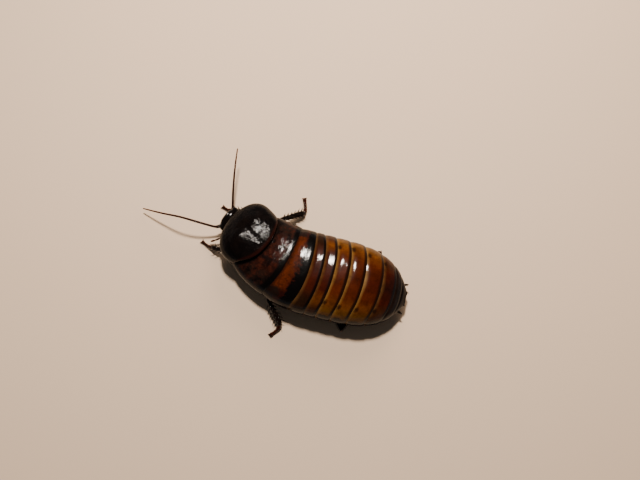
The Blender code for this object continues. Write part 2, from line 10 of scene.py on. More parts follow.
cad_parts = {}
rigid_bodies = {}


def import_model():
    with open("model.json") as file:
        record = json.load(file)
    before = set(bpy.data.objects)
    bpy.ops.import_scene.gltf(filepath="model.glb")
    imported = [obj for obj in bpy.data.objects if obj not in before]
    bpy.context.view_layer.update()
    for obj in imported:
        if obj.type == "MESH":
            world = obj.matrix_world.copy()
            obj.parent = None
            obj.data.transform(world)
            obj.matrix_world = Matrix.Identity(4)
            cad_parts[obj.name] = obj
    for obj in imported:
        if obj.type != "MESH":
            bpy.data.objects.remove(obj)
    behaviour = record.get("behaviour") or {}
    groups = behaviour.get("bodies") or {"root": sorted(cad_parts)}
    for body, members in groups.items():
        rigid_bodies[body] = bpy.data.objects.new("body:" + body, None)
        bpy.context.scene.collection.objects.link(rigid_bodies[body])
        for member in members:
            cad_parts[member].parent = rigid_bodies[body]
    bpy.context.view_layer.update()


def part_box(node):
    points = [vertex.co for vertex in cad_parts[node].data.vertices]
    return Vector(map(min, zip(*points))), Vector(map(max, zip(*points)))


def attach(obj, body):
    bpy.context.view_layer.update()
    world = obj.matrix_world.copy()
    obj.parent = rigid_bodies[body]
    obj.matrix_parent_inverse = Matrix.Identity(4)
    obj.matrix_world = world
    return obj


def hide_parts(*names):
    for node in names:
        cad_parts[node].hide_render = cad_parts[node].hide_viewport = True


for thing in list(bpy.data.objects):
    bpy.data.objects.remove(thing)

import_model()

# Where the animal stands.
# Sizes are in millimetres, X forward along the abdomen, Y to the animal's left, Z up, 0 on the floor.
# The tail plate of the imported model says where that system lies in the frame.
MM = 0.001
TAIL_TIP = -28.6
tail_low, tail_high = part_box("epiproct")
ORIGIN = Vector((tail_low.x - TAIL_TIP * MM, (tail_low.y + tail_high.y) / 2, 0.0))


def place(point):
    """A point in the animal's millimetres, in the frame's metres."""
    return ORIGIN + Vector(point) * MM


# Viewpoint.
# The picture looks down on the animal's back from its left, almost from overhead.
# The aim is the point of the body that lies at the middle of the picture.
CAMERA_AIM = (4.46, -11.69, 8.0)
CAMERA_DISTANCE = 223.7
CAMERA_AZIMUTH_DEG = 194.8
CAMERA_ELEVATION_DEG = 71.9
CAMERA_ROLL_DEG = 0.17
FOCAL_PIXELS = 647.0
PICTURE_PIXELS = 640
SENSOR_MM = 36.0


def direction(azimuth_deg, elevation_deg):
    """Towards a camera or lamp at this azimuth, 0 looking along +Y and 90 along -X, and elevation."""
    azimuth = math.radians(azimuth_deg)
    elevation = math.radians(elevation_deg)
    level = math.cos(elevation)
    return Vector((math.sin(azimuth) * level, -math.cos(azimuth) * level, math.sin(elevation)))


def in_scene(name, data):
    """A new object in the scene, with this camera, lamp or mesh as its data."""
    thing = bpy.data.objects.new(name, data)
    bpy.context.scene.collection.objects.link(thing)
    return thing


camera_data = bpy.data.cameras.new("view")
camera_data.sensor_width = SENSOR_MM
camera_data.lens = FOCAL_PIXELS / PICTURE_PIXELS * SENSOR_MM
camera_data.clip_start = 0.01
camera_data.clip_end = 20.0
camera = in_scene("view", camera_data)
back = direction(CAMERA_AZIMUTH_DEG, CAMERA_ELEVATION_DEG)
camera.location = place(CAMERA_AIM) + back * CAMERA_DISTANCE * MM
camera.rotation_mode = "QUATERNION"
roll = Quaternion((0, 0, 1), math.radians(CAMERA_ROLL_DEG))
camera.rotation_quaternion = (-back).to_track_quat("-Z", "Y") @ roll
bpy.context.scene.camera = camera


# Light.
# One small lamp above the animal's right side, where the shine along its back puts it, and a broad weak one
# low on that side that casts no shine, in a room pale near the floor and dark overhead, so black stays black.
LAMP_AIM = (4.0, -4.0, 8.0)
# Each lamp: azimuth and elevation in degrees, distance and width in millimetres, power in watts, colour.
LAMPS = {
    "key": (17.0, 61.0, 420.0, 58.0, 3.1, "#FFF4E8"),
    "fill": (0.0, 28.0, 420.0, 240.0, 1.3, "#FFE9D2"),
}
# The room's light by height, as a share of white, from the horizon at 0 to straight up at 1.
ROOM = ((0.0, 0.36), (0.2, 0.3), (0.42, 0.055), (1.0, 0.035))


def colour(hex_value):
    """An sRGB hex value as linear red, green, blue and alpha."""
    channels = [int(hex_value[k:k + 2], 16) / 255 for k in (1, 3, 5)]
    linear = [c / 12.92 if c <= 0.04045 else ((c + 0.055) / 1.055) ** 2.4 for c in channels]
    return (*linear, 1.0)


def wire(tree, node, inputs):
    """Sets a node's inputs to numbers, vectors or hex colours, or links them to other nodes."""
    for name, value in inputs.items():
        if isinstance(value, bpy.types.NodeSocket):
            tree.links.new(value, node.inputs[name])
        else:
            node.inputs[name].default_value = colour(value) if isinstance(value, str) else value


def add(tree, kind, inputs=None, stops=None, out=0, **settings):
    """Adds a node with its settings, the stops of its ramp and its inputs, and gives one of its outputs."""
    made = tree.nodes.new(kind)
    for name, value in settings.items():
        setattr(made, name, value)
    if stops:
        ramp = made.color_ramp.elements
        while len(ramp) < len(stops):
            ramp.new(0.5)
        for element, (position, value) in zip(ramp, stops):
            element.position = position
            element.color = colour(value) if isinstance(value, str) else (value, value, value, 1.0)
    wire(tree, made, inputs or {})
    return made.outputs[out]


for lamp_name, (azimuth, elevation, distance, width, watts, tint) in LAMPS.items():
    lamp_data = bpy.data.lights.new(lamp_name, "AREA")
    lamp_data.shape = "DISK"
    lamp_data.size = width * MM
    lamp_data.energy = watts
    lamp_data.color = colour(tint)[:3]
    lamp = in_scene(lamp_name, lamp_data)
    towards = direction(azimuth, elevation)
    lamp.location = place(LAMP_AIM) + towards * distance * MM
    lamp.rotation_mode = "QUATERNION"
    lamp.rotation_quaternion = towards.to_track_quat("Z", "Y")
    lamp.visible_glossy = lamp_name == "key"
world = bpy.data.worlds.new("room")
bpy.context.scene.world = world
world.use_nodes = True
tree = world.node_tree
towards = add(tree, "ShaderNodeTexCoord", out="Generated")
height = add(tree, "ShaderNodeSeparateXYZ", {"Vector": towards}, out="Z")
glow = add(tree, "ShaderNodeValToRGB", {"Fac": height}, ROOM)
wire(tree, tree.nodes["Background"], {"Color": glow})


# Floor.
# A plain pale board, painted flat, a little warm.
# It reaches past the picture on every side.
FLOOR_SIDE = 4000.0
FLOOR_COLOUR = "#DCC2A8"
FLOOR_GRAINS_A_METRE = 900.0
FLOOR_DENT_MM = 0.2


def material_of(name):
    """A new material and its node tree, with the shader left in place."""
    material = bpy.data.materials.new(name)
    material.use_nodes = True
    return material, material.node_tree, material.node_tree.nodes["Principled BSDF"]


# Matt emulsion rolled on board: no shine, only the faintest grain.
floor_paint, tree, shader = material_of("matt_floor_paint")
spot = add(tree, "ShaderNodeTexCoord", out="Object")
grain = add(tree, "ShaderNodeTexNoise", {"Vector": spot, "Scale": FLOOR_GRAINS_A_METRE, "Detail": 3.0})
dent = add(tree, "ShaderNodeBump", {"Height": grain, "Strength": 0.05, "Distance": FLOOR_DENT_MM * MM})
finish = {"Base Color": FLOOR_COLOUR, "Roughness": 0.75, "Specular IOR Level": 0.3, "Normal": dent}
wire(tree, shader, finish)
half = FLOOR_SIDE * MM / 2
floor_mesh = bpy.data.meshes.new("floor")
floor_corners = [(-half, -half, 0), (half, -half, 0), (half, half, 0), (-half, half, 0)]
floor_mesh.from_pydata(floor_corners, [], [(0, 1, 2, 3)])
floor_mesh.materials.append(floor_paint)
floor = in_scene("floor", floor_mesh)


# Plates of the back.
# Hard curved sheets of cuticle, each with its rear lip lying over the front of the next, and its side
# edges folded under. The body line is straight along the abdomen and bends to the right at the thorax.
TURN_START = 3.5
TURN_RADIUS = 44.0
TURN_DEG = 28.0
GAP = 0.3
# Widths and heights by the station on that line.
HALF_WIDTH = ((-28.6, 2.6), (-27.3, 4.8), (-25.2, 7.8), (-21.9, 10.6), (-16.8, 12.9), (-10.6, 14.1),
              (-3.0, 14.4), (7.6, 14.4), (15.6, 13.6), (21.0, 12.9), (27.0, 11.9))
BACK_HEIGHT = ((-28.6, 4.9), (-26.4, 7.0), (-24.1, 8.7), (-19.4, 11.2), (-13.2, 12.6), (-6.0, 12.9),
               (5.0, 12.3), (13.4, 11.8), (21.0, 11.0), (27.0, 10.6))
MARGIN_HEIGHT = ((-28.6, 3.7), (-24.0, 3.9), (-16.8, 4.6), (-8.0, 4.9), (5.0, 5.0), (16.0, 5.1), (27.0, 5.6))
PRONOTUM_REAR = (27.0, 4.9)
BACK_PLATES = (("mesonotum", 15.7, 2.4), ("metanotum", 8.1, 2.7), ("tergite_1", 3.8, 2.7),
               ("tergite_2", -0.2, 2.7), ("tergite_3", -5.1, 2.7), ("tergite_4", -10.5, 2.7),
               ("tergite_5", -16.7, 2.6), ("tergite_6", -21.8, 2.3), ("tergite_7", -24.9, 1.6),
               ("epiproct", TAIL_TIP, 0.0))
ARCH_POWER = 0.85
PLATE_EDGE = 0.5
LIP_REACH = 0.3
# Depths along a plate in millimetres. A dip is the share where it ends or starts, its depth and power.
HIDDEN_FRONT = ((-0.75, 1.0), (-0.45, 0.78), (-0.2, 0.6))
FRONT_DIP = (0.5, 0.5, 1.9)
REAR_DIP = (0.82, 0.16, 2.0)
ROLLED_LIP = ((0.07, 0.22), (0.09, 0.32), (0.04, 0.41), (-0.25, 0.46))
SHEET_THICKNESS = 0.2
FOLD = ((0.02, 0.36), (-0.02, 0.2), (-0.12, 0.06), (-0.32, 0.0), (-0.9, 0.02), (-1.7, 0.1), (-4.2, 0.16))
ALONG_STEPS = 34
ACROSS_STEPS = 132


def smooth_between(table, at):
    """A value read from (place, value) pairs in rising order, eased so that it has no corners."""
    if at <= table[0][0]:
        return table[0][1]
    if at >= table[-1][0]:
        return table[-1][1]
    k = 0
    while at > table[k + 1][0]:
        k += 1
    slopes = [slope_at(table, j) for j in (k, k + 1)]
    (x0, y0), (x1, y1) = table[k], table[k + 1]
    h = x1 - x0
    t = (at - x0) / h
    start = (1 + 2 * t) * (1 - t) ** 2 * y0 + t * (1 - t) ** 2 * h * slopes[0]
    end = t * t * (3 - 2 * t) * y1 + t * t * (t - 1) * h * slopes[1]
    return start + end


def slope_at(table, k):
    """The slope of the eased line at entry k."""
    low, high = max(k - 1, 0), min(k + 1, len(table) - 1)
    return (table[high][1] - table[low][1]) / (table[high][0] - table[low][0])


def body_turn(station):
    """Radians that the body line has turned to the right at a station."""
    return min(max((station - TURN_START) / TURN_RADIUS, 0.0), math.radians(TURN_DEG))


def on_body(station, side, up):
    """The point at a station of the body line, moved to the animal's left and up."""
    turn = body_turn(station)
    past = max(0.0, station - TURN_START - TURN_RADIUS * turn)
    x = min(station, TURN_START) + past * math.cos(turn) + TURN_RADIUS * math.sin(turn)
    y = -TURN_RADIUS * (1 - math.cos(turn)) - past * math.sin(turn)
    return Vector((x + side * math.sin(turn), y + side * math.cos(turn), up))


def eased(low, high, value):
    """0 below low, 1 above high, smooth between."""
    t = min(max((value - low) / (high - low), 0.0), 1.0)
    return t * t * (3 - 2 * t)


def plate_path(length):
    """Steps of a plate from its hidden front to its rolled rear lip: share of the length, then depth."""
    end = 1 + LIP_REACH / length
    steps = [(beyond / length, depth) for beyond, depth in HIDDEN_FRONT]
    for k in range(ALONG_STEPS + 1):
        share = 0.5 - 0.5 * math.cos(math.pi * k / ALONG_STEPS)
        to, deep, power = FRONT_DIP
        front = deep * max(1 - share / to, 0.0) ** power
        start, deep, power = REAR_DIP
        rear = deep * max((share - start) / (1 - start), 0.0) ** power
        steps.append((share * end, front + rear))
    return steps + [(end + beyond / length, depth) for beyond, depth in ROLLED_LIP]


def folded_edges(station, middle, width, margin, share, rise=1.0, narrowest=0.05):
    """The folded side edges of a row, left then right, each point with where it lies on its piece."""
    edges = []
    for sign in (1, -1):
        edge = []
        for out, up in FOLD:
            side = middle + sign * max(width + out, narrowest)
            edge.append((on_body(station, side, margin + up * rise), (share, sign, side)))
        edges.append(edge)
    return edges


def plate_row(station, sweep, depth, share, relief):
    """One row of a plate from its left fold over the back to its right fold, with where each point lies."""
    width = smooth_between(HALF_WIDTH, station) - depth
    left, right = folded_edges(station, 0.0, width, smooth_between(MARGIN_HEIGHT, station), share)
    arch = []
    for i in range(ACROSS_STEPS + 1):
        angle = math.pi * i / ACROSS_STEPS
        across = math.cos(angle)
        at = station - sweep * (1 - across * across)
        margin = smooth_between(MARGIN_HEIGHT, at)
        side = math.copysign(abs(across) ** ARCH_POWER, across) * width
        height = smooth_between(BACK_HEIGHT, at) - depth - margin - PLATE_EDGE
        up = margin + PLATE_EDGE + max(height, 0.05) * math.sin(angle) ** ARCH_POWER
        up += relief(share, side, station) * math.sin(angle)
        arch.append((on_body(at, side, up), (share, side / (width + depth), side)))
    return left[::-1] + arch + right


def mesh_piece(name, rows, faces, material):
    """A smooth mesh through rows of points, whose attribute lie says where each point lies on the piece."""
    mesh = bpy.data.meshes.new(name)
    mesh.from_pydata([place(point) for row in rows for point, lie in row], [], faces)
    attribute = mesh.attributes.new("lie", "FLOAT_VECTOR", "POINT")
    attribute.data.foreach_set("vector", [c for row in rows for point, lie in row for c in lie])
    mesh.materials.append(material)
    mesh.shade_smooth()
    return in_scene(name, mesh)


def sheet_piece(name, rows, material):
    """A thin closed sheet through rows of points."""
    count = len(rows[0])
    faces = []
    for r in range(len(rows) - 1):
        for i in range(count - 1):
            a = r * count + i
            faces.append((a, a + 1, a + count + 1, a + count))
    piece = mesh_piece(name, rows, faces, material)
    shell = piece.modifiers.new("thickness", "SOLIDIFY")
    shell.thickness = SHEET_THICKNESS * MM
    shell.offset = -1
    return piece


def fit(piece, slot, *nodes):
    """The piece stands for its nodes and rides with the body. The slot is not used."""
    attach(piece, "root")
    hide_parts(*nodes)
    return piece


# Cuticle of the back plates.
# Hardened chitin, grown and tanned plate by plate, under a clear waxy layer, so it reads as deep brown
# glass, saturated under a sharp shine.
CUTICLE_IOR = 1.56
CUTICLE_SHINE = 0.02
COAT_IOR = 1.42
TONES = {
    "jet": "#060404", "black": "#0E0807", "soot": "#120905", "brown_black": "#1B110D", "umber": "#251409",
    "black_maroon": "#210B06", "maroon": "#330F05", "mahogany": "#3B1303", "chestnut": "#431803",
    "russet": "#4B1E08", "dull_olive": "#371C0B", "amber": "#572D08", "olive": "#5A380F",
    "bark": "#51361A", "straw": "#735428",
}
# The tones of a plate: middle, half way, flank, outer flank, side edge, pale front line and dark lip.
PLATE_TONES = {
    "mesonotum": "black_maroon black_maroon brown_black brown_black black soot jet",
    "metanotum": "russet russet brown_black brown_black jet soot jet",
    "tergite_1": "maroon maroon umber umber black bark jet",
    "tergite_2": "maroon maroon amber dull_olive black bark black",
    "tergite_3": "mahogany chestnut amber olive black straw soot",
    "tergite_4": "mahogany chestnut amber olive black straw soot",
    "tergite_5": "maroon chestnut amber olive black straw soot",
    "tergite_6": "black_maroon maroon dull_olive dull_olive jet bark jet",
    "tergite_7": "soot brown_black brown_black brown_black jet brown_black jet",
    "epiproct": "black black black black jet soot jet",
}
SPOT_PLATES = {"tergite_3": 9.8, "tergite_4": 10.2, "tergite_5": 9.6, "tergite_6": 8.3}
SPOT_SHARE = 0.25
SPOT_RADIUS = 0.95
SPOT_DEPTH = 0.1
SPOT_STRETCH = 0.8
SPOT_COLOUR = "#180A05"
# A grain is its size and its depth in millimetres, a blotch its size and its detail.
THORAX_GRAIN = {"mesonotum": (0.6, 0.06), "metanotum": (0.6, 0.03)}
ABDOMEN_GRAIN = (0.9, 0.016)
MESONOTUM_BLOTCH = (1.6, 5.0)
METANOTUM_BLOTCH = (1.3, 4.0)
PALE_BLOTCH = "#3C190F"
DARK_BLOTCH = "#1C0A05"
DARK_REAR = "#2A0C05"
JOINT_LINE_MM = 1.15
JOINT_WIDENING = 0.05
LIP_LINE_MM = 0.5
SMEAR_MM = 2.6
SPECK_MM = 0.45
GRAIN_ROUGHNESS = 0.6
# Where each tone lies across a plate, from the middle at 0 to the side edge at 1.
ACROSS = ((0.0, 0), (0.44, 1), (0.70, 2), (0.85, 3), (0.925, 3), (0.955, 4))
METANOTUM_ACROSS = ((0.0, 0), (0.66, 1), (0.74, 2), (0.93, 3), (0.97, 4))


def mottling(tree, *grains):
    """The uneven growth of cuticle: for each size in millimetres and detail, a pattern about 0.5."""
    spot = add(tree, "ShaderNodeTexCoord", out="Object")
    return [add(tree, "ShaderNodeTexNoise", {"Vector": spot, "Scale": 1 / (size * MM), "Detail": detail,
                                             "Roughness": GRAIN_ROUGHNESS}) for size, detail in grains]


def lie_of(tree):
    """Where a point lies on its piece: X along it, Y across it and Z in millimetres to the side."""
    lie = add(tree, "ShaderNodeAttribute", out="Vector", attribute_name="lie")
    return add(tree, "ShaderNodeSeparateXYZ", {"Vector": lie}).node.outputs


def wandering(tree, value, pattern, swing):
    """A value that wanders with a pattern, up to half this swing each way."""
    away = add(tree, "ShaderNodeMath", {0: pattern, 1: 0.5}, operation="SUBTRACT")
    return add(tree, "ShaderNodeMath", {0: away, 1: swing, 2: value}, operation="MULTIPLY_ADD")


def laid_over(tree, ground, coats):
    """The ground with coats over it, each a pattern, the stops that make it a share, and a colour."""
    for pattern, stops, paint in coats:
        share = add(tree, "ShaderNodeValToRGB", {"Fac": pattern}, stops)
        ground = add(tree, "ShaderNodeMix", {0: share, 6: ground, 7: paint}, out=2, data_type="RGBA")
    return ground


def shaded(tree, ground, pattern, stops):
    """The ground made darker or lighter by a pattern, whose stops give what it is multiplied by."""
    shade = add(tree, "ShaderNodeValToRGB", {"Fac": pattern}, stops)
    return add(tree, "ShaderNodeMix", {0: 1.0, 6: ground, 7: shade}, out=2, data_type="RGBA",
               blend_type="MULTIPLY")


def waxed(tree, shader, tone, roughness, coat, height, depth_mm, coat_roughness=0.05):
    """Sets a cuticle's colour and shine, and lets its fine relief tilt the shine."""
    dent = add(tree, "ShaderNodeBump", {"Height": height, "Strength": 1.0, "Distance": depth_mm * MM})
    wire(tree, shader, {"Base Color": tone, "Roughness": roughness, "IOR": CUTICLE_IOR,
                        "Specular IOR Level": CUTICLE_SHINE, "Coat Weight": coat,
                        "Coat Roughness": coat_roughness, "Coat IOR": COAT_IOR,
                        "Normal": dent, "Coat Normal": dent})


def plate_cuticle(name, length):
    """The cuticle of one plate: tones across it, blotches, joint lines and dark side spots."""
    tones = [TONES[tone] for tone in PLATE_TONES[name].split()]
    joint, lip = tones[5:]
    material, tree, shader = material_of(f"waxed_cuticle_{name}")
    lie = lie_of(tree)
    grain_mm, dent_mm = THORAX_GRAIN.get(name, ABDOMEN_GRAIN)
    smear, speck, grain = mottling(tree, (SMEAR_MM, 3.0), (SPECK_MM, 2.0), (grain_mm, 3.0))
    along = wandering(tree, lie["X"], smear, 0.12)
    side = add(tree, "ShaderNodeMath", {0: lie["Y"]}, operation="ABSOLUTE")
    across = wandering(tree, side, smear, 0.16)
    places = METANOTUM_ACROSS if name == "metanotum" else ACROSS
    ground = add(tree, "ShaderNodeValToRGB", {"Fac": across}, [(place, tones[k]) for place, k in places])
    ground = shaded(tree, ground, smear, ((0.3, 0.66), (0.7, 1.25)))
    ground = shaded(tree, ground, speck, ((0.3, 0.824), (0.6, 1.0)))
    if name == "metanotum":
        blotch = mottling(tree, METANOTUM_BLOTCH)[0]
        ragged = wandering(tree, along, blotch, 0.5)
        ground = laid_over(tree, ground, ((blotch, ((0.50, 0.0), (0.58, 0.55)), DARK_BLOTCH),
                                          (ragged, ((0.40, 0.0), (0.58, 0.8)), DARK_REAR),
                                          (ragged, ((0.58, 0.0), (0.70, 1.0)), lip)))
    if name == "mesonotum":
        blotch = mottling(tree, MESONOTUM_BLOTCH)[0]
        ends = ((0.06, 1.0), (0.2, 0.0), (0.78, 0.0), (0.9, 1.0))
        ground = laid_over(tree, ground, ((blotch, ((0.48, 0.0), (0.64, 0.6)), PALE_BLOTCH),
                                          (smear, ((0.38, 0.7), (0.5, 0.0)), lip), (along, ends, lip)))
    front = JOINT_LINE_MM / length
    rear = 1 - LIP_LINE_MM / length
    wide = add(tree, "ShaderNodeValToRGB", {"Fac": side}, ((0.08, JOINT_WIDENING), (0.28, 0.0)))
    near = add(tree, "ShaderNodeMath", {0: along, 1: wide}, operation="SUBTRACT")
    line = add(tree, "ShaderNodeValToRGB", {"Fac": near}, ((front * 0.5, 0.95), (front * 1.4, 0.0)))
    worn = add(tree, "ShaderNodeValToRGB", {"Fac": smear}, ((0.35, 0.45), (0.6, 1.0)))
    faint = add(tree, "ShaderNodeMath", {0: line, 1: worn}, operation="MULTIPLY")
    ground = add(tree, "ShaderNodeMix", {0: faint, 6: ground, 7: joint}, out=2, data_type="RGBA")
    ground = laid_over(tree, ground, ((along, ((rear - 0.05, 0.0), (rear + 0.06, 0.9)), lip),))
    if name in SPOT_PLATES:
        back = add(tree, "ShaderNodeMath", {0: lie["X"], 1: length}, operation="MULTIPLY")
        out = add(tree, "ShaderNodeMath", {0: lie["Z"]}, operation="ABSOLUTE")
        out = add(tree, "ShaderNodeMath", {0: out, 1: SPOT_STRETCH}, operation="MULTIPLY")
        flat = add(tree, "ShaderNodeCombineXYZ", {"X": back, "Y": out})
        centre = (SPOT_SHARE * length, SPOT_STRETCH * SPOT_PLATES[name], 0.0)
        away = add(tree, "ShaderNodeVectorMath", {0: flat, 1: centre}, out="Value", operation="DISTANCE")
        ragged = wandering(tree, away, speck, 0.9)
        stops = ((SPOT_RADIUS * 0.4, 0.85), (SPOT_RADIUS, 0.0))
        ground = laid_over(tree, ground, ((ragged, stops, SPOT_COLOUR),))
    height = add(tree, "ShaderNodeMath", {0: speck, 1: 0.35, 2: grain}, operation="MULTIPLY_ADD")
    waxed(tree, shader, ground, 0.3, 0.5, height, dent_mm)
    return material


def wrinkled(strength):
    """Crossed shallow creases of about a millimetre, as on the thorax."""
    def relief(share, side, station):
        spot = Vector((station * 0.9, side * 0.55, 3.7))
        crease = noise.fractal(spot, 0.9, 2.1, 4) + 0.6 * abs(noise.noise(spot * 1.7))
        return strength * crease * eased(0.0, 0.2, share) * (1 - eased(0.85, 1.0, share))
    return relief


def pitted(length, out):
    """A small pit under each side spot, and a faint swell along the plate."""
    def relief(share, side, station):
        away = math.hypot((share - SPOT_SHARE) * length, abs(side) - out)
        pit = -SPOT_DEPTH * max(1 - away / SPOT_RADIUS, 0.0) ** 0.7
        swell = 0.05 * noise.noise(Vector((station * 0.5, side * 0.28, 9.1)))
        return pit + swell
    return relief


RELIEFS = {"mesonotum": wrinkled(0.05), "metanotum": wrinkled(0.03)}
front_station, front_sweep = PRONOTUM_REAR
SLOTS = dict.fromkeys(("mesonotum", "tergite_1", "tergite_2", "tergite_6"), "mahogany_plates")
SLOTS |= dict.fromkeys(("metanotum", "tergite_3", "tergite_4", "tergite_5"), "amber_plates")
for name, rear_station, rear_sweep in BACK_PLATES:
    length = front_station - rear_station
    relief = RELIEFS.get(name) or pitted(length, SPOT_PLATES.get(name, 99.0))
    rows = []
    for share, depth in plate_path(length):
        station = front_station - share * length
        sweep = front_sweep + share * (rear_sweep - front_sweep)
        rows.append(plate_row(station, sweep, depth, share, relief))
    piece = sheet_piece(f"{name}_sheet", rows, plate_cuticle(name, length))
    fit(piece, SLOTS.get(name, "black_shell"), name)
    front_station, front_sweep = rear_station, rear_sweep


# Shield over the head.
# The pronotum, one domed black plate with two low bumps, a shallow middle groove and fine creases.
# Its rear lip lies over the next plate and turns down inside to the neck. Its rim is folded under all round.
SHIELD_WIDEST = 30.5
SHIELD_HALF_WIDTH = 11.4
SHIELD_FRONT = (8.4, 2.2)
SHIELD_REAR = (9.7, 2.3)
SHIELD_SHIFT = ((26.0, 0.3), (31.0, 0.2), (35.0, -0.5), (40.0, -1.6))
SHIELD_TOP = ((20.0, 11.5), (25.0, 12.2), (30.0, 12.2), (34.0, 11.1), (36.5, 9.8), (38.9, 8.2))
SHIELD_MARGIN = ((20.0, 5.7), (30.0, 6.0), (35.0, 6.6), (38.9, 7.0))
SHIELD_EDGE = 0.8
SHIELD_FOLD_RISE = 1.6
SHIELD_NECK = ((1.5, 4.2), (1.5, 3.0), (1.4, 2.0), (1.1, 1.2), (0.5, 0.7))
SHIELD_LIP = ((-0.1, 0.5), (-0.42, 0.44), (-0.48, 0.32), (-0.44, 0.18), (-0.34, 0.09), (-0.15, 0.03))
SHIELD_ROWS = 110
SHIELD_LAST_TURN = 0.494 * math.pi
BUMP_STATION = 31.5
BUMP_SIDE = 4.3
BUMP_RADIUS = 3.6
BUMP_HEIGHT = 0.5
GROOVE_DEPTH = 0.10
GROOVE_WIDTH = 0.9
RIM_DEPTH = 0.10
RIM_PLACE = 0.93
RIM_WIDTH = 0.03
CREASE_DEPTH = 0.045


def shield_relief(station, side, out):
    """Bumps, groove and creases of the shield, where out is 1 at the rim."""
    up = 0.0
    for centre in (BUMP_SIDE, -BUMP_SIDE):
        near = max(0.0, 1 - math.hypot(station - BUMP_STATION, side - centre) / BUMP_RADIUS)
        up += BUMP_HEIGHT * near * near * (3 - 2 * near)
    groove = math.exp(-(side / GROOVE_WIDTH) ** 2) * eased(23.0, 26.0, station)
    up -= GROOVE_DEPTH * groove * (1 - eased(33.0, 37.0, station))
    up -= RIM_DEPTH * math.exp(-((out - RIM_PLACE) / RIM_WIDTH) ** 2)
    spot = Vector((station * 0.75, side * 0.62, 1.3))
    crease = noise.fractal(spot, 0.8, 2.2, 4) + 0.7 * abs(noise.noise(spot * 1.9))
    return up + CREASE_DEPTH * crease * (1 - eased(RIM_PLACE, 1.0, out))


def shield_row(share, beyond, depth):
    """One row of the shield from fold to fold, this far beyond its place and below its top."""
    front = SHIELD_WIDEST + SHIELD_FRONT[0]
    start = PRONOTUM_REAR[0] + GAP / 2
    station = start + share * (front - start) + beyond
    reach, power = SHIELD_FRONT if station > SHIELD_WIDEST else SHIELD_REAR
    away = abs(station - SHIELD_WIDEST) / reach
    width = SHIELD_HALF_WIDTH * max(1 - away ** power, 0.0) ** (1 / power) - depth
    width = max(width, 0.05)
    middle = smooth_between(SHIELD_SHIFT, station)
    sweep = PRONOTUM_REAR[1] * (1 - share) ** 1.3
    margin = smooth_between(SHIELD_MARGIN, station)
    left, right = folded_edges(station, middle, width, margin, share, SHIELD_FOLD_RISE, 0.02)
    arch = []
    for i in range(ACROSS_STEPS + 1):
        angle = math.pi * i / ACROSS_STEPS
        across = math.cos(angle)
        at = station - sweep * (1 - across * across)
        margin = smooth_between(SHIELD_MARGIN, at)
        side = math.copysign(abs(across) ** ARCH_POWER, across) * width
        height = max(smooth_between(SHIELD_TOP, at) - depth - margin - SHIELD_EDGE, 0.05)
        up = margin + SHIELD_EDGE + height * math.sin(angle) ** ARCH_POWER
        out = max(abs(across), eased(0.8, 1.0, share))
        up += shield_relief(at, side, out) * math.sin(angle) ** 0.5
        arch.append((on_body(at, middle + side, up), (share, across, side)))
    return left[::-1] + arch + right


# Thick waxed cuticle, creased all over: almost black, with a shine in two patches that the creases break.
cuticle, tree, shader = material_of("waxed_black_cuticle_shield")
cloud, crease, pores = mottling(tree, (3.0, 3.0), (0.85, 3.0), (0.4, 2.0))
tone = add(tree, "ShaderNodeValToRGB", {"Fac": cloud}, ((0.35, "#060404"), (0.7, "#0D0807")))
tone = laid_over(tree, tone, ((lie_of(tree)["X"], ((0.0, 1.0), (0.05, 0.0)), "#200B07"),))
gloss = add(tree, "ShaderNodeMapRange", {"Value": cloud, "To Min": 0.2, "To Max": 0.34})
height = add(tree, "ShaderNodeMath", {0: pores, 1: 0.6, 2: crease}, operation="MULTIPLY_ADD")
waxed(tree, shader, tone, gloss, 0.3, height, 0.08, 0.03)
rows = [shield_row(0.0, beyond, depth) for beyond, depth in SHIELD_NECK + SHIELD_LIP]
for k in range(SHIELD_ROWS + 1):
    rows.append(shield_row(math.sin(SHIELD_LAST_TURN * k / SHIELD_ROWS), 0.0, 0.0))
piece = sheet_piece("pronotum_shield", [row[::-1] for row in rows], cuticle)
fit(piece, "black_shell", "pronotum")


# Plates of the belly.
# Shallow curved plates that close the body from below, thinner and browner than those of the back.
# Each one's front is stepped in behind the one ahead of it, and they end just inside the folded side edges.
BELLY_HEIGHT = ((-28.6, 3.0), (-20.0, 2.7), (-12.0, 3.1), (-6.0, 3.7), (0.0, 4.1), (6.0, 4.4), (38.0, 4.5))
BELLY_POWER = 0.7
BELLY_INSET = 0.7
BELLY_ARC = 64
BELLY_ROWS = 14
BELLY_RIM = 0.2
BELLY_FRONT_STEP = 0.22
BELLY_REAR_STEP = 0.12
BELLY_PLATES = (("prosternum", 36.0, 23.0, 3.6), ("mesosternum", 23.0, 13.7, 3.2),
                ("metasternum", 13.7, 3.8, 3.0), ("sternite_2", 3.8, -0.2, BELLY_INSET),
                ("sternite_3", -0.2, -5.1, BELLY_INSET), ("sternite_4", -5.1, -10.5, BELLY_INSET),
                ("sternite_5", -10.5, -16.7, BELLY_INSET), ("sternite_6", -16.7, -21.8, BELLY_INSET),
                ("sternite_7", -21.8, -27.7, BELLY_INSET))


def belly_row(station, inset, lift):
    """A loop across one belly plate: its hidden flat top, then its shallow bowl."""
    width = smooth_between(HALF_WIDTH, station) - inset - lift
    top_at = smooth_between(MARGIN_HEIGHT, station) - GAP
    bottom_at = smooth_between(BELLY_HEIGHT, station) + lift
    top, bottom = [], []
    for i in range(BELLY_ARC + 1):
        angle = math.pi * i / BELLY_ARC
        across = math.cos(angle)
        side = math.copysign(abs(across) ** ARCH_POWER, across) * width
        drop = BELLY_RIM + (top_at - BELLY_RIM - bottom_at) * math.sin(angle) ** BELLY_POWER
        top.append((on_body(station, side, top_at), (0.0, across, side)))
        bottom.append((on_body(station, side, top_at - drop), (0.0, across, side)))
    return top + bottom[::-1]


